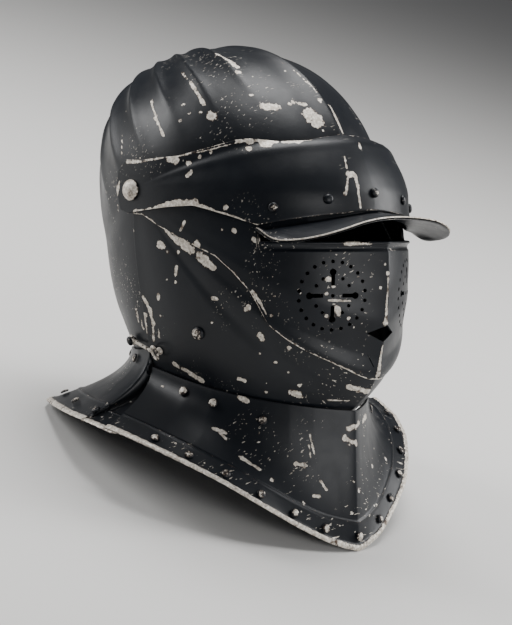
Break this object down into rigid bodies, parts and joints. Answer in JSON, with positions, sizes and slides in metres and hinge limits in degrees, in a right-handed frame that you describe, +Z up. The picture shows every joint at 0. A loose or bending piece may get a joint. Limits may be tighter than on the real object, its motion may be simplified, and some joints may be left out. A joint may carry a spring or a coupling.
{
  "type": "close burgonet",
  "caption": "Black painted close burgonet with ridged skull, drooping peak, pierced face guard, chin guard with swivel hook and flared gorget plates.",
  "frame": {"origin": "middle of the footprint, on the surface that the helmet rests on", "axes": "+Z up, the face looks along -Y, +X is the wearer's left"},
  "size_m": [0.2732, 0.3026, 0.2877],
  "materials": {
    "black_painted_steel": "satin black paint, chipped to bare steel",
    "worn_steel": "paint worn off the bolt heads"
  },
  "bodies": {
    "skull_body": {"skull": "black_painted_steel", "finial": "black_painted_steel", "gorget_rear": "black_painted_steel", "pivot_bolt_left": "worn_steel", "pivot_bolt_right": "worn_steel", "hook_rivet": "black_painted_steel", "back_neck_rivet_1": "black_painted_steel", "back_neck_rivet_4": "black_painted_steel", "back_neck_rivet_7": "black_painted_steel", "back_neck_rivet_10": "black_painted_steel", "back_neck_rivet_13": "black_painted_steel", "back_rim_rivet_1": "black_painted_steel", "back_rim_rivet_4": "black_painted_steel", "back_rim_rivet_7": "black_painted_steel", "back_rim_rivet_11": "black_painted_steel", "back_rim_rivet_15": "black_painted_steel", "back_rim_rivet_19": "black_painted_steel", "back_rim_rivet_23": "black_painted_steel", "back_rim_rivet_26": "black_painted_steel", "back_rim_rivet_29": "black_painted_steel"},
    "chin_body": {"chin_guard": "black_painted_steel", "gorget_front": "black_painted_steel", "chin_rivet_left": "black_painted_steel", "chin_rivet_right": "black_painted_steel", "stud": "black_painted_steel", "rim_rivet_1": "black_painted_steel", "rim_rivet_2": "black_painted_steel", "rim_rivet_3": "black_painted_steel", "rim_rivet_4": "black_painted_steel", "rim_rivet_5": "black_painted_steel", "rim_rivet_6": "black_painted_steel", "rim_rivet_8": "black_painted_steel", "rim_rivet_10": "black_painted_steel", "rim_rivet_11": "black_painted_steel", "rim_rivet_12": "black_painted_steel", "rim_rivet_13": "black_painted_steel", "rim_rivet_14": "black_painted_steel", "rim_rivet_15": "black_painted_steel", "neck_rivet_1": "black_painted_steel", "neck_rivet_3": "black_painted_steel", "neck_rivet_7": "black_painted_steel", "neck_rivet_23": "black_painted_steel", "neck_rivet_27": "black_painted_steel", "neck_rivet_29": "black_painted_steel"},
    "face_body": {"face_guard": "black_painted_steel"},
    "brow_body": {"brow_plate": "black_painted_steel", "peak": "black_painted_steel", "brow_rivet_1": "black_painted_steel", "brow_rivet_2": "black_painted_steel", "brow_rivet_3": "black_painted_steel", "brow_rivet_4": "black_painted_steel", "brow_rivet_5": "black_painted_steel"},
    "hook_body": {"hook": "black_painted_steel"}
  },
  "joints": [
    {"name": "chin_hinge", "type": "hinge", "parent": "skull_body", "child": "chin_body", "pos_m": [0, 0.04389, 0.1855], "axis": [-1, 0, 0], "range_deg": [0, 35]},
    {"name": "face_hinge", "type": "hinge", "parent": "chin_body", "child": "face_body", "pos_m": [0, 0.04389, 0.1855], "axis": [-1, 0, 0], "range_deg": [0, 25]},
    {"name": "brow_hinge", "type": "hinge", "parent": "face_body", "child": "brow_body", "pos_m": [0, 0.04389, 0.1855], "axis": [-1, 0, 0], "range_deg": [0, 10]},
    {"name": "hook_swivel", "type": "hinge", "parent": "skull_body", "child": "hook_body", "pos_m": [-0.07488, 0.03205, 0.08002], "axis": [-0.8689, 0.2004, -0.4526], "range_deg": [0, 90]}
  ]
}
